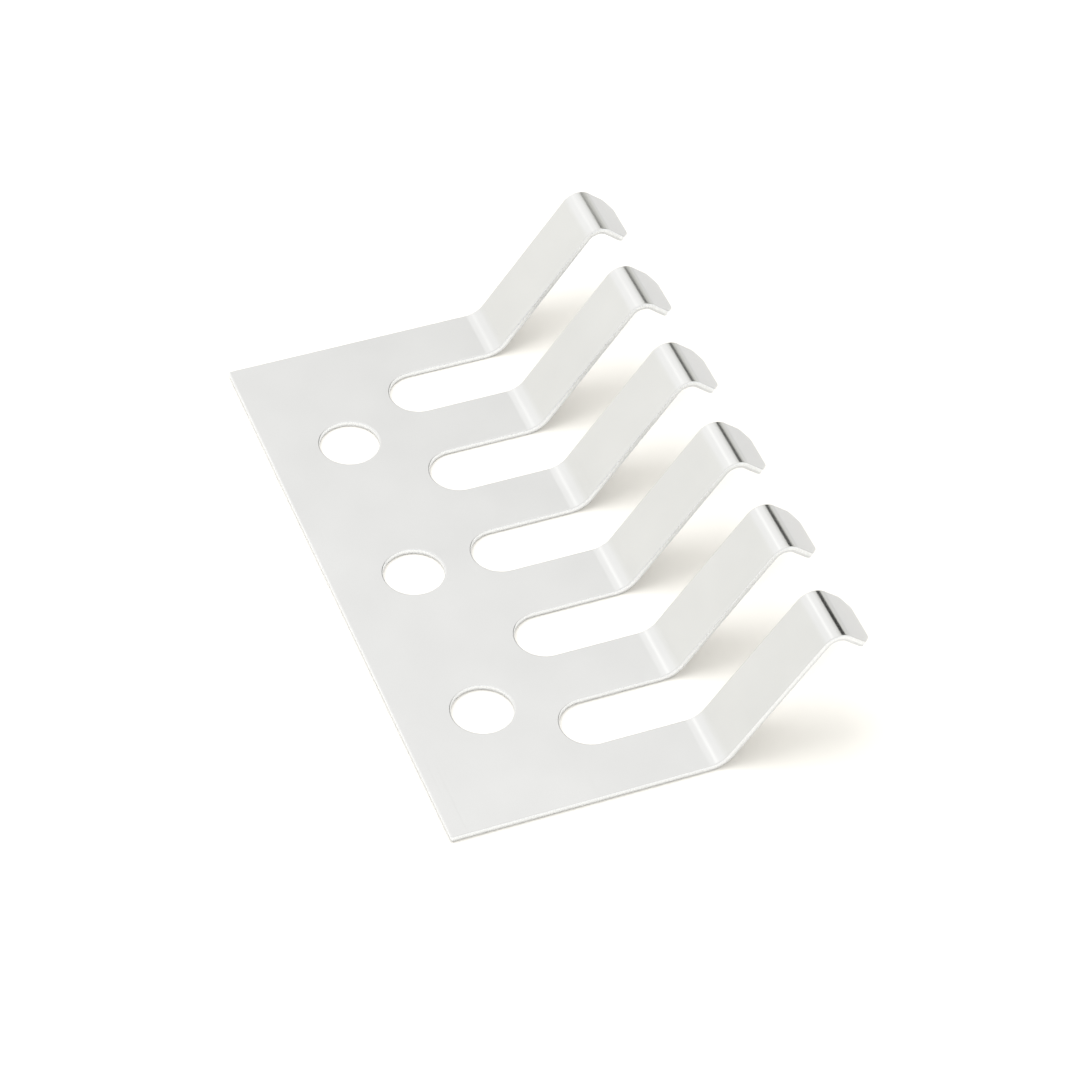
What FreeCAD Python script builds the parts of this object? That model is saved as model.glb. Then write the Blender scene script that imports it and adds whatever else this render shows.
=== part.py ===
import FreeCAD, Part
import math
import os

# Wall hook rack: one pressed sheet, cut into a comb and bent into six hooks.
# Millimetres. The origin is the middle fixing hole, on the face that lies against the wall.
# +X runs along the hooks to their tips, +Y along the rack, +Z away from the wall.
# The sheet is modelled as its back plate and its hooks, which meet face to face on one line.

# Sheet
sheet_thickness = 1.2

# Comb of hooks along Y
hook_count = 6
hook_pitch = 20.0
slot_width = 9.8
end_hook_width = 10.4

# Back plate along X
hole_to_back_edge = 13.9
hole_to_slot_line = 15.2    # the slot line runs through the centres of the slots' round ends

# Fixing holes, in one row along Y
hole_count = 3
hole_spacing = 32.0
hole_diameter = 10.2

# One hook, from the slot line to its tip: flat land, root bend, arm, crest bend, lip
land_length = 14.2
root_bend_radius = 4.0      # inside radius
arm_angle = 54.0            # degrees between the arm and the wall
arm_length = 24.5           # straight stretch between the two bends
crest_bend_radius = 2.0     # inside radius
lip_angle = 40.0            # degrees that the lip points back towards the wall
lip_length = 5.5            # straight stretch after the crest bend
lip_corner_cut = 1.9        # 45 degree cut across each corner of the lip

# Worked out from the values above
slot_count = hook_count - 1
rack_length = (slot_count - 1) * hook_pitch + slot_width + 2 * end_hook_width
slot_centres = [(i - (slot_count - 1) / 2) * hook_pitch for i in range(slot_count)]
hole_centres = [(i - (hole_count - 1) / 2) * hole_spacing for i in range(hole_count)]
cutter_margin = 5.0         # how far a cutting tool stands past what it cuts


def hook_sides():
    """The low and high Y of each hook: the outer ones end at the rack's ends."""
    low_sides = [-rack_length / 2] + [y + slot_width / 2 for y in slot_centres]
    high_sides = [y - slot_width / 2 for y in slot_centres] + [rack_length / 2]
    return list(zip(low_sides, high_sides))


def upright_cylinder(diameter, x, y):
    """A cutter through the sheet, standing past both of its faces."""
    foot = FreeCAD.Vector(x, y, -cutter_margin)
    height = sheet_thickness + 2 * cutter_margin
    return Part.makeCylinder(diameter / 2, height, foot)


def back_plate():
    """The flat plate, with its fixing holes and the round ends of the slots."""
    plate = Part.makeBox(
        hole_to_back_edge + hole_to_slot_line,
        rack_length,
        sheet_thickness,
        FreeCAD.Vector(-hole_to_back_edge, -rack_length / 2, 0),
    )
    holes = [upright_cylinder(hole_diameter, 0, y) for y in hole_centres]
    slot_ends = [upright_cylinder(slot_width, hole_to_slot_line, y) for y in slot_centres]
    return plate.cut(holes + slot_ends)


def heading(angle):
    """The direction of travel in the XZ plane, at an angle in degrees above +X."""
    return FreeCAD.Vector(math.cos(math.radians(angle)), 0, math.sin(math.radians(angle)))


def outward(angle):
    """The direction from the sheet's wall side to its front, at the same angle."""
    return FreeCAD.Vector(-math.sin(math.radians(angle)), 0, math.cos(math.radians(angle)))


def straight(point, angle, length):
    """One straight stretch: its wall-side edge, its front edge and its end."""
    end = point + heading(angle) * length
    front = outward(angle) * sheet_thickness
    return Part.LineSegment(point, end), Part.LineSegment(point + front, end + front), end


def bend(point, angle, turn, inside_radius):
    """One bend: it turns up about a centre in front of the sheet, or down about one behind it."""
    towards_centre = sheet_thickness + inside_radius if turn > 0 else -inside_radius
    centre = point + outward(angle) * towards_centre

    def at(share, height):
        return centre + outward(angle + share * turn) * (height - towards_centre)

    wall_side = Part.Arc(at(0, 0), at(0.5, 0), at(1, 0))
    front = Part.Arc(at(0, sheet_thickness), at(0.5, sheet_thickness), at(1, sheet_thickness))
    return wall_side, front, at(1, 0)


def hook_side_face():
    """The hook's side outline, on the plane Y = 0, and the point where its wall side ends."""
    start = FreeCAD.Vector(hole_to_slot_line, 0, 0)
    land, land_front, point = straight(start, 0, land_length)
    root, root_front, point = bend(point, 0, arm_angle, root_bend_radius)
    arm, arm_front, point = straight(point, arm_angle, arm_length)
    crest, crest_front, point = bend(point, arm_angle, -arm_angle - lip_angle, crest_bend_radius)
    lip, lip_front, tip = straight(point, -lip_angle, lip_length)
    heel = Part.LineSegment(start, start + outward(0) * sheet_thickness)
    toe = Part.LineSegment(tip, tip + outward(-lip_angle) * sheet_thickness)
    outline = [land, root, arm, crest, lip, toe, lip_front, crest_front, arm_front, root_front]
    outline += [land_front, heel]
    edges = Part.sortEdges([curve.toShape() for curve in outline])[0]
    return Part.Face(Part.Wire(edges)), tip


def lip_corner_cutter(tip, y, inward):
    """A triangular prism, square to the lip, that clips the corner at the given side."""
    along = heading(-lip_angle)
    side = FreeCAD.Vector(0, inward, 0)
    corner = tip + FreeCAD.Vector(0, y, 0) - outward(-lip_angle) * cutter_margin
    reach = lip_corner_cut + cutter_margin
    points = [
        corner + along * cutter_margin - side * cutter_margin,
        corner - along * reach - side * cutter_margin,
        corner + along * cutter_margin + side * reach,
    ]
    triangle = Part.Face(Part.makePolygon(points + points[:1]))
    return triangle.extrude(outward(-lip_angle) * (sheet_thickness + 2 * cutter_margin))


def hook(low_side, high_side):
    """One hook between two values of Y, with both corners of its lip cut off."""
    side_face, tip = hook_side_face()
    side_face.translate(FreeCAD.Vector(0, low_side, 0))
    strip = side_face.extrude(FreeCAD.Vector(0, high_side - low_side, 0))
    corners = [lip_corner_cutter(tip, low_side, 1), lip_corner_cutter(tip, high_side, -1)]
    return strip.cut(corners)


def save(name, shape):
    solids = shape.Solids
    solid = solids[0] if len(solids) == 1 else Part.makeCompound(solids)
    solid.exportStep(os.path.join("parts", name + ".step"))
    box = solid.BoundBox
    print(f"{name}: {len(solids)} solid, valid {solid.isValid()}, volume {solid.Volume:.1f} mm3,"
          f" x {box.XMin:.2f}..{box.XMax:.2f}, y {box.YMin:.2f}..{box.YMax:.2f},"
          f" z {box.ZMin:.2f}..{box.ZMax:.2f}")


os.makedirs("parts", exist_ok=True)
save("back_plate", back_plate())
for number, (low, high) in enumerate(hook_sides(), start=1):
    save(f"hook_{number}", hook(low, high))
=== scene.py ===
import bpy
import bmesh
from math import cos, pi, radians, sin
from mathutils import Matrix, Vector


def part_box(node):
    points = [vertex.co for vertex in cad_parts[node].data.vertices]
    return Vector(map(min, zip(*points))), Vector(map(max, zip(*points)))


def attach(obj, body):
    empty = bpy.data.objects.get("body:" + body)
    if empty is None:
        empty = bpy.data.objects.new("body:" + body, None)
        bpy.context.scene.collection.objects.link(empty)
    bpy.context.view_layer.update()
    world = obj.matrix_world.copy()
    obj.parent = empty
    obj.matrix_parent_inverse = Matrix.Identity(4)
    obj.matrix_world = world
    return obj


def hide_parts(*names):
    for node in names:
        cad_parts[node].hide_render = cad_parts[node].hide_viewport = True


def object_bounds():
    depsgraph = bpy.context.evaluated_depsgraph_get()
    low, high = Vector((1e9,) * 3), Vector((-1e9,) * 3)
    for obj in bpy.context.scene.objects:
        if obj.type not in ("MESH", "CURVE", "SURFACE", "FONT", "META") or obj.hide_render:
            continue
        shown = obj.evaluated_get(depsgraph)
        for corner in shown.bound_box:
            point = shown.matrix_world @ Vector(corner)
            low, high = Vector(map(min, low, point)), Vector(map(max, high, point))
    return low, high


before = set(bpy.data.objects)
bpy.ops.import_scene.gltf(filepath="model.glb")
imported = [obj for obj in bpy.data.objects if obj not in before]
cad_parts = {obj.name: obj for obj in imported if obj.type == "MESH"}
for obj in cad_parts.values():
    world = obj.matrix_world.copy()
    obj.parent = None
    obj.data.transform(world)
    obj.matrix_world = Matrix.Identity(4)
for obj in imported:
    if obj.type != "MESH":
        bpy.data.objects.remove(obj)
cadLow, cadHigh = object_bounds()
print("stage: frame loaded")

mm = 0.001    # meshes are shaped in millimetres and scaled to metres at the end
sheetSurface, burnishedAndPaintedReflectionBand, brokenAndPaintedShadeBand, hiddenSeam = 0, 1, 2, 3    # material slots of a piece
hookNodes = sorted(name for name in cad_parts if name.startswith("hook_"))


def nodeBox(node):
    low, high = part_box(node)
    return low / mm, high / mm


# Materials

def addNode(tree, kind, **values):
    node = tree.nodes.new(kind)
    for key, value in values.items():
        setattr(node, key, value)
    return node


def objectPattern(tree, scale, turn=0.0):
    # object coordinates, turned about Z and stretched
    where = addNode(tree, "ShaderNodeTexCoord")
    mapping = addNode(tree, "ShaderNodeMapping")
    mapping.inputs["Rotation"].default_value = (0, 0, radians(turn))
    mapping.inputs["Scale"].default_value = scale
    tree.links.new(where.outputs["Object"], mapping.inputs["Vector"])
    return mapping.outputs["Vector"]


def noise(tree, vector, detail):
    node = addNode(tree, "ShaderNodeTexNoise")
    node.inputs["Scale"].default_value = 1.0
    node.inputs["Detail"].default_value = detail
    tree.links.new(vector, node.inputs["Vector"])
    return node.outputs["Fac"]


def mapRange(tree, value, fromLow, fromHigh, toLow, toHigh):
    node = addNode(tree, "ShaderNodeMapRange")
    tree.links.new(value, node.inputs["Value"])
    ends = {"From Min": fromLow, "From Max": fromHigh, "To Min": toLow, "To Max": toHigh}
    for end, number in ends.items():
        node.inputs[end].default_value = number
    return node.outputs["Result"]


def combine(tree, operation, first, second):
    node = addNode(tree, "ShaderNodeMath", operation=operation)
    for socket, value in zip(node.inputs, (first, second)):
        if isinstance(value, (int, float)):
            socket.default_value = value
        else:
            tree.links.new(value, socket)
    return node.outputs["Value"]


def tint(tree, factor, dark, light):
    node = addNode(tree, "ShaderNodeMix", data_type="RGBA")
    tree.links.new(factor, node.inputs[0])
    for socket, colour in ((node.inputs[6], dark), (node.inputs[7], light)):
        if isinstance(colour, tuple):
            socket.default_value = colour
        else:
            tree.links.new(colour, socket)
    return node.outputs[2]


def bump(tree, height, distance, under=None):
    node = addNode(tree, "ShaderNodeBump")
    node.inputs["Strength"].default_value = 1.0
    node.inputs["Distance"].default_value = distance
    tree.links.new(height, node.inputs["Height"])
    if under is not None:
        tree.links.new(under, node.inputs["Normal"])
    return node.outputs["Normal"]


def newMetal(name):
    material = bpy.data.materials.new(name)
    material.use_nodes = True
    shader = material.node_tree.nodes["Principled BSDF"]
    shader.inputs["Metallic"].default_value = 1.0
    return material, material.node_tree, shader


def speckles(tree, cellsPerMetre, dotRadius, share):
    # 1 inside small round dots, which only a share of the cells hold
    cells = addNode(tree, "ShaderNodeTexVoronoi", feature="F1")
    cells.inputs["Scale"].default_value = 1.0
    tree.links.new(objectPattern(tree, (cellsPerMetre,) * 3), cells.inputs["Vector"])
    solidRadius = dotRadius / 2
    dot = mapRange(tree, cells.outputs["Distance"], dotRadius, solidRadius, 0, 1)
    lot = addNode(tree, "ShaderNodeSeparateColor")
    tree.links.new(cells.outputs["Color"], lot.inputs["Color"])
    return combine(tree, "MULTIPLY", dot, combine(tree, "LESS_THAN", lot.outputs["Red"], share))


def scratches(tree, scale, turn, threshold, softness):
    # long thin streaks where a stretched noise peaks
    streak = noise(tree, objectPattern(tree, scale, turn), detail=0.0)
    return mapRange(tree, streak, threshold, threshold + softness, 0, 1)


sheetLook = {
    "lightMetal": (0.675, 0.674, 0.664, 1),
    "duskyMetal": (0.648, 0.647, 0.637, 1),
    "speckMetal": (0.50, 0.495, 0.48, 1),
    "roughness": (0.15, 0.21),
    "smudgeScale": 70,
    "smudgeSpread": (0.35, 0.65),           # pattern values that give dusky and light metal
    "sheenSpread": (0.7, 1.3),              # smudge and grain together, for the roughness
    "rollGrainScale": (9000, 260, 9000),    # streaks run along Y, the way the sheet was rolled
    "rollGrainDepth": 0.0000012,
    "waveScale": 45,
    "waveDepth": 0.000012,
    # stretch of each set of scratches, its turn about Z in degrees, and its threshold
    "scratchSets": (
        ((2600, 22, 2600), 14, 0.80),
        ((2600, 34, 2600), -37, 0.82),
        ((2600, 30, 2600), 78, 0.82),
    ),
    "scratchSoftness": 0.02,
    "scratchRoughness": 0.06,
    "scratchDepth": 0.000001,
    "speckCells": 260,                      # cells in a metre
    "speckRadius": 0.026,                   # in cells
    "speckShare": 0.10,
}


def sheetMaterial():
    material, tree, shader = newMetal("sheet_surface")
    look = sheetLook
    smudge = noise(tree, objectPattern(tree, (look["smudgeScale"],) * 3), detail=4.0)
    grain = noise(tree, objectPattern(tree, look["rollGrainScale"]), detail=2.0)
    wave = noise(tree, objectPattern(tree, (look["waveScale"],) * 3), detail=1.0)
    marks = 0.0
    for scale, turn, threshold in look["scratchSets"]:
        streaks = scratches(tree, scale, turn, threshold, look["scratchSoftness"])
        marks = combine(tree, "MAXIMUM", streaks, marks)
    specks = speckles(tree, look["speckCells"], look["speckRadius"], look["speckShare"])
    clean = mapRange(tree, smudge, *look["smudgeSpread"], 0, 1)
    colour = tint(tree, clean, look["duskyMetal"], look["lightMetal"])
    colour = tint(tree, specks, colour, look["speckMetal"])
    tree.links.new(colour, shader.inputs["Base Color"])
    texture = combine(tree, "ADD", smudge, grain)
    rough = mapRange(tree, texture, *look["sheenSpread"], *look["roughness"])
    worn = combine(tree, "MULTIPLY", combine(tree, "MAXIMUM", marks, specks), look["scratchRoughness"])
    tree.links.new(combine(tree, "ADD", rough, worn), shader.inputs["Roughness"])
    shape = bump(tree, wave, look["waveDepth"])
    shape = bump(tree, grain, look["rollGrainDepth"], under=shape)
    shape = bump(tree, marks, -look["scratchDepth"], under=shape)
    tree.links.new(shape, shader.inputs["Normal"])
    return material


# the cut edges: a smooth band that the punch dragged, and a grainy one where the sheet broke. The smooth
# upper band is painted lighter and cooler, partly as painted reflection: its cool tint offsets the warm
# floor that it mirrors. The grainy lower band is painted darker, partly as the duller fracture zone and
# partly as painted shade at the foot of the wall
edgeLook = {
    # painted lighter and cooler than the sheet: partly the smoother band, partly painted reflection,
    # tinted cool against the warm floor it mirrors
    "burnished_edge_and_painted_reflection": {
        "dark": (0.75, 0.765, 0.785, 1),
        "light": (0.79, 0.805, 0.825, 1),
        "roughness": (0.24, 0.32),
        "grainScale": (7000, 7000, 600),
        "grainDepth": 0.000001,
    },
    # painted darker: partly the duller fracture zone, partly painted shade where the wall meets the floor
    "broken_edge_and_painted_shade": {
        "dark": (0.62, 0.63, 0.645, 1),
        "light": (0.71, 0.72, 0.735, 1),
        "roughness": (0.38, 0.50),
        "grainScale": (8000, 8000, 6500),
        "grainDepth": 0.000004,
    },
}
edgeColourSpread = (0.35, 0.65)    # pattern values that give the dark and the light colour
edgeSheenSpread = (0.3, 0.7)       # and the two ends of the roughness


def edgeMaterial(name, look):
    material, tree, shader = newMetal(name)
    grain = noise(tree, objectPattern(tree, look["grainScale"]), detail=3.0)
    colour = tint(tree, mapRange(tree, grain, *edgeColourSpread, 0, 1), look["dark"], look["light"])
    rough = mapRange(tree, grain, *edgeSheenSpread, *look["roughness"])
    tree.links.new(colour, shader.inputs["Base Color"])
    tree.links.new(rough, shader.inputs["Roughness"])
    tree.links.new(bump(tree, grain, look["grainDepth"]), shader.inputs["Normal"])
    return material


metals = [sheetMaterial(), *(edgeMaterial(name, look) for name, look in edgeLook.items())]
print("stage: materials made")


# Shaping

rimShape = {
    "burnishShare": 0.55,    # share of the thickness that the punch leaves smooth
    "rollRadius": 0.24,      # rolled-over rim of the front face
    "rollSteps": 4,
    "burrRadius": 0.28,      # rounded rim of the wall face
    "burrSteps": 4,
    "cornerSteps": 4,
    "cornerTurn": 20.0,      # cut edges that turn by more than this are corners
    "sharpTurn": 50.0,       # and edges that turn by more than this shade as sharp
}
nearlyNothing = 0.001        # in millimetres
nearlyFlat = radians(0.2)


def facesOf(geometry):
    return [g for g in geometry if isinstance(g, bmesh.types.BMFace)]


def vertsOf(geometry):
    return [g for g in geometry if isinstance(g, bmesh.types.BMVert)]


def pull(bm, tip, offset, isStart=False):
    # draws the end faces out in a straight line; only the first ones stay behind, as a cap
    made = bmesh.ops.extrude_face_region(bm, geom=tip)["geom"]
    if not isStart:
        bmesh.ops.delete(bm, geom=[f for f in tip if f.is_valid], context="FACES")
    bmesh.ops.translate(bm, verts=vertsOf(made), vec=offset)
    return facesOf(made)


def swing(bm, tip, centre, turn, steps):
    # draws the end faces round a bend whose axis runs along Y; a positive turn lifts them
    geometry = {*tip, *(e for f in tip for e in f.edges), *(v for f in tip for v in f.verts)}
    made = bmesh.ops.spin(bm, geom=list(geometry), cent=centre, axis=(0, 1, 0), angle=-radians(turn),
                          steps=steps)
    return facesOf(made["geom_last"])


def roundCorners(bm, radius):
    # rounds the upright edges where two cut edges of the sheet meet
    def isCorner(edge):
        bands = {f.material_index for f in edge.link_faces}
        isCut = bands <= {burnishedAndPaintedReflectionBand, brokenAndPaintedShadeBand}
        return isCut and edge.calc_face_angle(0) > radians(rimShape["cornerTurn"])

    bmesh.ops.bevel(bm, geom=[e for e in bm.edges if isCorner(e)], offset=radius, affect="EDGES",
                    segments=rimShape["cornerSteps"], profile=0.5, material=-1)


def roundRims(bm):
    # rolls over the front rim and breaks the wall-side rim, and leaves the seam alone
    for band, radius, steps in (
        (burnishedAndPaintedReflectionBand, rimShape["rollRadius"], rimShape["rollSteps"]),
        (brokenAndPaintedShadeBand, rimShape["burrRadius"], rimShape["burrSteps"]),
    ):
        rim = [e for e in bm.edges if {f.material_index for f in e.link_faces} == {sheetSurface, band}]
        bmesh.ops.bevel(bm, geom=rim, offset=radius, affect="EDGES", segments=steps, profile=0.5,
                        material=-1, clamp_overlap=False)


def finishPiece(bm, node):
    name = "pressed_" + node
    for face in bm.faces:
        face.smooth = True
        if face.material_index == hiddenSeam:
            face.material_index = sheetSurface
    bmesh.ops.scale(bm, vec=(mm, mm, mm), verts=bm.verts)
    bmesh.ops.recalc_face_normals(bm, faces=bm.faces)
    mesh = bpy.data.meshes.new(name)
    bm.to_mesh(mesh)
    bm.free()
    mesh.set_sharp_from_angle(angle=radians(rimShape["sharpTurn"]))
    for metal in metals:
        mesh.materials.append(metal)
    piece = bpy.data.objects.new(name, mesh)
    bpy.context.scene.collection.objects.link(piece)
    even = piece.modifiers.new("even_shading", "WEIGHTED_NORMAL")
    even.weight = 100
    even.keep_sharp = True
    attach(piece, "root")
    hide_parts(node)


# Back plate

plateShape = {
    "holeCount": 3,
    "holeSpacing": 32.0,
    "holeRadius": 5.1,
    "holeSteps": 48,        # steps round each half of a hole
    "slotEndSteps": 40,
    "cornerRadius": 0.35,
}


def flatArc(bm, start, centre, turn, steps):
    # a chain of edges swung from a first vertex round an upright axis
    first = bm.verts.new(start)
    made = bmesh.ops.spin(bm, geom=[first], cent=centre, axis=(0, 0, 1), angle=radians(turn), steps=steps)
    return first, vertsOf(made["geom_last"])[0]


def fillOutline(bm, stretches):
    # joins stretches, each a (first, last) pair of vertices, into one closed face
    for (_, end), (start, _) in zip(stretches, stretches[1:] + stretches[:1]):
        bm.edges.new((end, start))
    loose = [e for e in bm.edges if not e.link_faces]
    bmesh.ops.contextual_create(bm, geom=loose)


def backPlate():
    shape = plateShape
    low, high = nodeBox("back_plate")
    radius = shape["holeRadius"]
    holes = [(i - (shape["holeCount"] - 1) / 2) * shape["holeSpacing"] for i in range(shape["holeCount"])]
    sides = [(nodeBox(n)[0].y, nodeBox(n)[1].y) for n in hookNodes]
    slots = [(below[1], above[0]) for below, above in zip(sides, sides[1:])]
    bm = bmesh.new()

    def corner(x, y):
        vertex = bm.verts.new((x, y, 0))
        return vertex, vertex

    def middleLine(turn):
        # the stretches along the line of holes, going round each hole on one side
        arcs = [flatArc(bm, (0, y - radius, 0), (0, y, 0), turn, shape["holeSteps"]) for y in holes]
        return [corner(0, low.y), *arcs, corner(0, high.y)]

    def slotEnd(bottom, top):
        middle = (bottom + top) / 2
        return flatArc(bm, (high.x, top, 0), (high.x, middle, 0), 180, shape["slotEndSteps"])

    fillOutline(bm, [*middleLine(-180), corner(low.x, high.y), corner(low.x, low.y)])
    fillOutline(bm, [*middleLine(180), corner(high.x, high.y), *(slotEnd(*s) for s in reversed(slots)),
                     corner(high.x, low.y)])
    bmesh.ops.remove_doubles(bm, verts=bm.verts, dist=nearlyNothing)

    thickness = high.z - low.z
    burnished = thickness * rimShape["burnishShare"]
    top = list(bm.faces)
    for band, height in ((brokenAndPaintedShadeBand, thickness - burnished), (burnishedAndPaintedReflectionBand, burnished)):
        for face in top:
            face.material_index = band
        top = pull(bm, top, (0, 0, height), isStart=band == brokenAndPaintedShadeBand)
    bmesh.ops.recalc_face_normals(bm, faces=bm.faces)
    for face in bm.faces:
        if abs(face.normal.z) > 0.5:
            face.material_index = sheetSurface
        elif face.normal.x > 0.999 and face.calc_center_median().x > high.x - nearlyNothing:
            face.material_index = hiddenSeam
    roundCorners(bm, shape["cornerRadius"])
    roundRims(bm)
    finishPiece(bm, "back_plate")


backPlate()
print("stage: back plate shaped")


# Hooks

hookShape = {
    "landLength": 14.2,      # flat stretch before the root bend
    "rootRadius": 4.0,       # inside radius of the root bend
    "armAngle": 54.0,
    "rootSteps": 32,
    "armLength": 24.4955,    # a hair short, so that the rounder crest stays within the height
    "crestRadius": 2.0,      # inside radius of the crest bend
    "lipAngle": 40.0,
    "crestSteps": 64,
    "lipLength": 5.5,
    "cornerCut": 1.9,
    "cornerRadius": 0.45,
}


def slope(angle):
    # unit vector along the strip, and the one square to it on the front side
    turn = radians(angle)
    return Vector((cos(turn), 0, sin(turn))), Vector((-sin(turn), 0, cos(turn)))


def hook(node):
    shape = hookShape
    low, high = nodeBox(node)
    middle = (low.y + high.y) / 2
    width = high.y - low.y
    thickness = nodeBox("back_plate")[1].z - low.z
    bm = bmesh.new()

    # the cut across the sheet, in its two bands
    place = Matrix.Translation((low.x, middle, thickness / 2))
    upright = Matrix.Rotation(pi / 2, 4, "Z") @ Matrix.Rotation(pi / 2, 4, "X")
    stretch = Matrix.Diagonal((width, thickness, 1, 1))
    bmesh.ops.create_grid(bm, x_segments=1, y_segments=2, size=0.5, matrix=place @ upright @ stretch)
    for vertex in bm.verts:
        if abs(vertex.co.z - thickness / 2) < nearlyNothing:
            vertex.co.z = thickness * (1 - rimShape["burnishShare"])
    for face in bm.faces:
        isUpper = face.calc_center_median().z > thickness / 2
        face.material_index = burnishedAndPaintedReflectionBand if isUpper else brokenAndPaintedShadeBand

    along, outward = slope(shape["armAngle"])
    tip = pull(bm, list(bm.faces), (shape["landLength"], 0, 0), isStart=True)
    rootCentre = Vector((low.x + shape["landLength"], middle, thickness + shape["rootRadius"]))
    tip = swing(bm, tip, rootCentre, shape["armAngle"], shape["rootSteps"])
    tip = pull(bm, tip, along * shape["armLength"])
    reach = shape["rootRadius"] + thickness + shape["crestRadius"]
    crestCentre = rootCentre - outward * reach + along * shape["armLength"]
    tip = swing(bm, tip, crestCentre, -shape["armAngle"] - shape["lipAngle"], shape["crestSteps"])
    along, outward = slope(-shape["lipAngle"])
    tip = pull(bm, tip, along * (shape["lipLength"] - shape["cornerCut"]))
    tip = pull(bm, tip, along * shape["cornerCut"])
    for vertex in {v for f in tip for v in f.verts}:
        vertex.co.y += shape["cornerCut"] if vertex.co.y < middle else -shape["cornerCut"]

    bmesh.ops.recalc_face_normals(bm, faces=bm.faces)
    for face in bm.faces:
        if face.calc_center_median().x < low.x + nearlyNothing:
            face.material_index = hiddenSeam
        elif abs(face.normal.y) < 0.5 and face not in tip:
            face.material_index = sheetSurface
    # the two lines across the lip where its corners' cut begins would make the rims fold
    flatLines = [e for e in bm.edges if e.verts[0].co.x > crestCentre.x
                 and abs(e.calc_length() - width) < nearlyNothing and e.calc_face_angle(1) < nearlyFlat]
    bmesh.ops.dissolve_edges(bm, edges=flatLines, use_verts=False)
    roundCorners(bm, shape["cornerRadius"])
    roundRims(bm)
    finishPiece(bm, node)


for node in hookNodes:
    hook(node)
print("stage: hooks shaped")


# Floor

floorLook = {
    "size": 8.0,
    "drop": 0.00002,                     # clear of the sheet's wall face
    "colour": (0.862, 0.842, 0.802, 1),
}


def floorPlane():
    material = bpy.data.materials.new("pale_paper")
    material.use_nodes = True
    shader = material.node_tree.nodes["Principled BSDF"]
    shader.inputs["Base Color"].default_value = floorLook["colour"]
    shader.inputs["Roughness"].default_value = 1.0
    shader.inputs["Specular IOR Level"].default_value = 0.0
    bm = bmesh.new()
    bmesh.ops.create_grid(bm, x_segments=1, y_segments=1, size=floorLook["size"] / 2)
    bmesh.ops.translate(bm, verts=bm.verts, vec=(0, 0, cadLow.z - floorLook["drop"]))
    mesh = bpy.data.meshes.new("floor")
    bm.to_mesh(mesh)
    bm.free()
    mesh.materials.append(material)
    floor = bpy.data.objects.new("floor", mesh)
    bpy.context.scene.collection.objects.link(floor)


floorPlane()


# Light

lightShape = {
    "strength": 1.6,
    "keyToward": (111.0, 50.0),     # azimuth and elevation of the brightest part of the studio
    # cosine of the angle from that direction, brightness there, and its share of blue
    "keyFalloff": (
        (0.0, 0.72, 0.985), (0.643, 0.757, 0.978), (0.800, 0.78, 0.985), (0.866, 0.815, 1.0),
        (0.940, 0.82, 1.0), (0.966, 0.822, 1.0), (0.985, 0.83, 1.0), (0.996, 0.895, 1.0), (1.0, 1.0, 1.0),
    ),
    "duskToward": (54.0, 22.0),     # the dim corner beyond the hooks' tips
    "duskFalloff": (
        (0.0, 1.0, 1.0), (0.819, 1.0, 1.0), (0.848, 1.0, 1.0), (0.871, 0.99, 1.0), (0.899, 0.89, 1.0),
        (0.940, 0.86, 0.99), (0.961, 0.80, 0.98), (0.982, 0.68, 0.97), (1.0, 0.62, 0.97),
    ),
}


def direction(azimuth, elevation):
    a, e = radians(azimuth), radians(elevation)
    return Vector((cos(a) * cos(e), sin(a) * cos(e), sin(e)))


def glow(tree, toward, falloff):
    # a brightness that depends on the angle from one direction
    where = addNode(tree, "ShaderNodeTexCoord")
    facing = addNode(tree, "ShaderNodeVectorMath", operation="DOT_PRODUCT")
    facing.inputs[1].default_value = direction(*toward)
    tree.links.new(where.outputs["Generated"], facing.inputs[0])
    ramp = addNode(tree, "ShaderNodeValToRGB")
    points = ramp.color_ramp.elements
    for position, level, blue in falloff:
        # a new ramp has its first and last point, and the others are sorted in between
        if position == 0:
            point = points[0]
        elif position == 1:
            point = points[-1]
        else:
            point = points.new(position)
        point.color = (level, level, level * blue, 1)
    tree.links.new(facing.outputs["Value"], ramp.inputs["Fac"])
    return ramp.outputs["Color"]


def studioWorld():
    look = lightShape
    world = bpy.data.worlds.new("soft_studio")
    world.use_nodes = True
    bpy.context.scene.world = world
    tree = world.node_tree
    key = glow(tree, look["keyToward"], look["keyFalloff"])
    dusk = glow(tree, look["duskToward"], look["duskFalloff"])
    both = addNode(tree, "ShaderNodeVectorMath", operation="MULTIPLY")
    tree.links.new(key, both.inputs[0])
    tree.links.new(dusk, both.inputs[1])
    tree.links.new(both.outputs["Vector"], tree.nodes["Background"].inputs["Color"])
    tree.nodes["Background"].inputs["Strength"].default_value = look["strength"]


studioWorld()

panelShape = {
    "rear_panel": {"place": (-0.11, 0.04, 0.31), "size": 0.24, "power": 0.29},
    "top_panel": {"place": (0.03, 0.02, 0.40), "size": 0.20, "power": 0.30},
}


def softPanel(name, shape):
    # a soft disk above the rack, which draws the shadow under each hook
    data = bpy.data.lights.new(name, "AREA")
    data.shape = "DISK"
    data.size = shape["size"]
    data.energy = shape["power"]
    panel = bpy.data.objects.new(name, data)
    place = Vector(shape["place"])
    aim = (-place).to_track_quat("-Z", "Y").to_matrix().to_4x4()
    panel.matrix_world = Matrix.Translation(place) @ aim
    panel.visible_glossy = False
    bpy.context.scene.collection.objects.link(panel)


for name, shape in panelShape.items():
    softPanel(name, shape)

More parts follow.
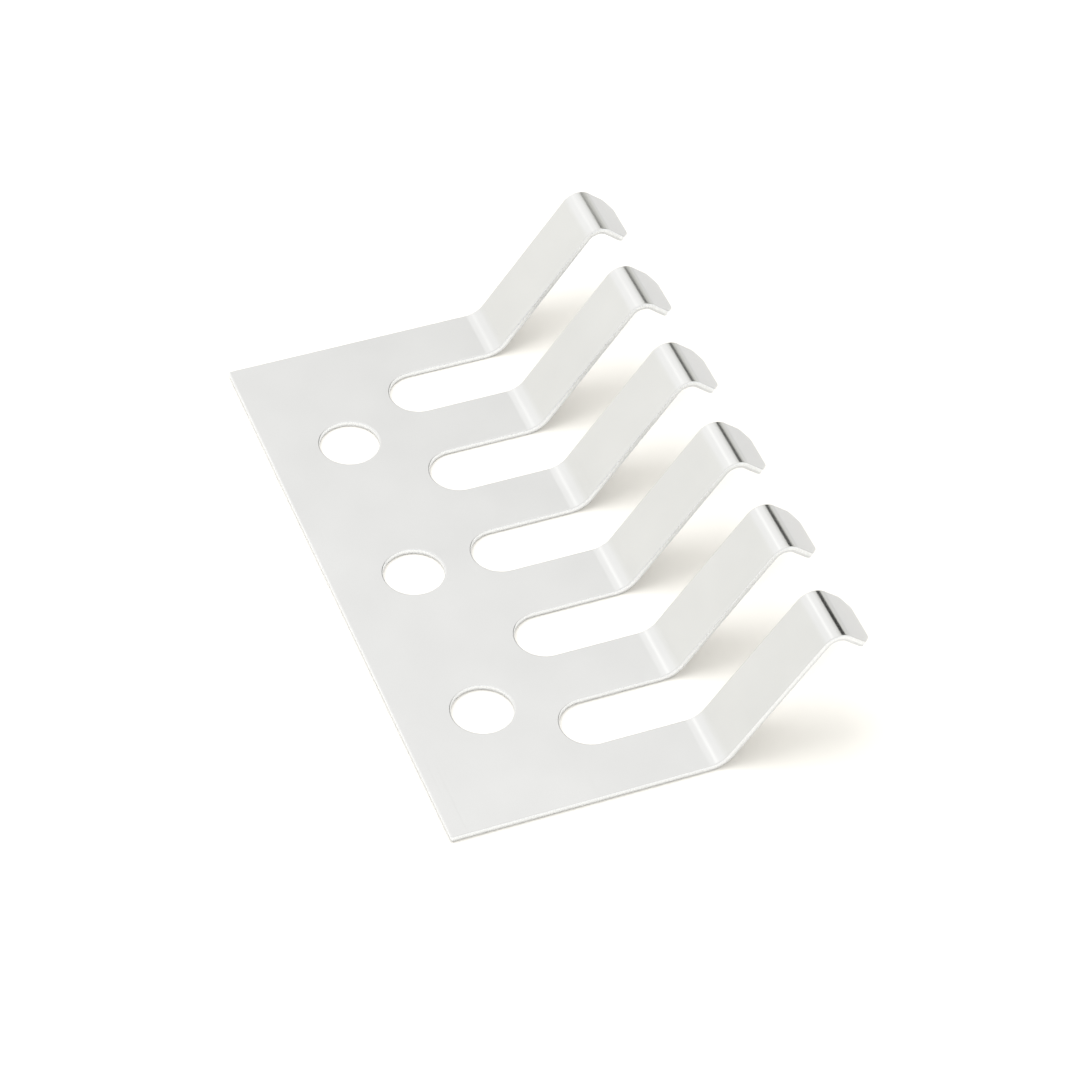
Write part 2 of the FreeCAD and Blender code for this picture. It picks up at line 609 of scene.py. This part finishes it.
blackCardShape = {
    "distance": 1.2,
    "colour": (0.02, 0.02, 0.021, 1),
    "roughness": 0.9,
    # azimuth and elevation of each corner, seen from the rack
    "corners": (
        (14, 52), (48.6, 37.4), (61.5, 34.3), (53.5, 29.6), (49.6, 27.0), (46.8, 25.4), (43.0, 24.8),
        (39.5, 21.5), (14, 16),
    ),
}

# low, just beyond the hooks' tips
greyCardShape = {
    "feet": ((0.122, -0.04, 0), (0.108, 0.15, 0)),
    "height": 0.026,
    "glow": (1.06, 0.83),    # brightness at the foot and at the top
}


def addCard(name, corners, material):
    # a flat card that the camera doesn't see, but the metal mirrors
    bm = bmesh.new()
    for corner in corners:
        bm.verts.new(corner)
    bmesh.ops.contextual_create(bm, geom=list(bm.verts))
    mesh = bpy.data.meshes.new(name)
    bm.to_mesh(mesh)
    bm.free()
    mesh.materials.append(material)
    card = bpy.data.objects.new(name, mesh)
    bpy.context.scene.collection.objects.link(card)
    card.visible_camera = False
    card.visible_shadow = False
    card.visible_diffuse = False


def blackCard():
    shape = blackCardShape
    material = bpy.data.materials.new("black_card")
    material.use_nodes = True
    shader = material.node_tree.nodes["Principled BSDF"]
    shader.inputs["Base Color"].default_value = shape["colour"]
    shader.inputs["Roughness"].default_value = shape["roughness"]
    centre = (cadLow + cadHigh) / 2
    corners = [centre + direction(*c) * shape["distance"] for c in shape["corners"]]
    addCard("black_card", corners, material)


def greyCard():
    shape = greyCardShape
    material = bpy.data.materials.new("grey_card")
    material.use_nodes = True
    tree = material.node_tree
    tree.nodes.remove(tree.nodes["Principled BSDF"])
    glowing = addNode(tree, "ShaderNodeEmission")
    split = addNode(tree, "ShaderNodeSeparateXYZ")
    tree.links.new(objectPattern(tree, (1, 1, 1)), split.inputs["Vector"])
    fade = mapRange(tree, split.outputs["Z"], 0, shape["height"], *shape["glow"])
    tree.links.new(fade, glowing.inputs["Strength"])
    tree.links.new(glowing.outputs["Emission"], tree.nodes["Material Output"].inputs["Surface"])
    left, right = (Vector(foot) for foot in shape["feet"])
    rise = Vector((0, 0, shape["height"]))
    addCard("grey_card", [left, right, right + rise, left + rise], material)


blackCard()
greyCard()
bpy.context.scene.view_settings.view_transform = "Standard"
print("stage: floor and light set")


# Camera

cameraShape = {
    "place": (-157.34, -423.22, 472.93),    # millimetres, in the rack's own frame
    "ahead": (0.27246, 0.64243, -0.71628),
    "roll": 2.59,
    "lens": 132.76,
    "sensorWidth": 36,
    "clipEnd": 20,
}


def camera():
    shape = cameraShape
    ahead = Vector(shape["ahead"]).normalized()
    level = ahead.cross(Vector((0, 0, 1))).normalized()
    right = Matrix.Rotation(-radians(shape["roll"]), 3, ahead) @ level
    up = right.cross(ahead)
    data = bpy.data.cameras.new("studio_camera")
    data.lens = shape["lens"]
    data.sensor_width = shape["sensorWidth"]
    data.clip_end = shape["clipEnd"]
    eye = bpy.data.objects.new("studio_camera", data)
    turn = Matrix((right, up, -ahead)).transposed().to_4x4()
    eye.matrix_world = Matrix.Translation(Vector(shape["place"]) * mm) @ turn
    bpy.context.scene.collection.objects.link(eye)
    bpy.context.scene.camera = eye


camera()
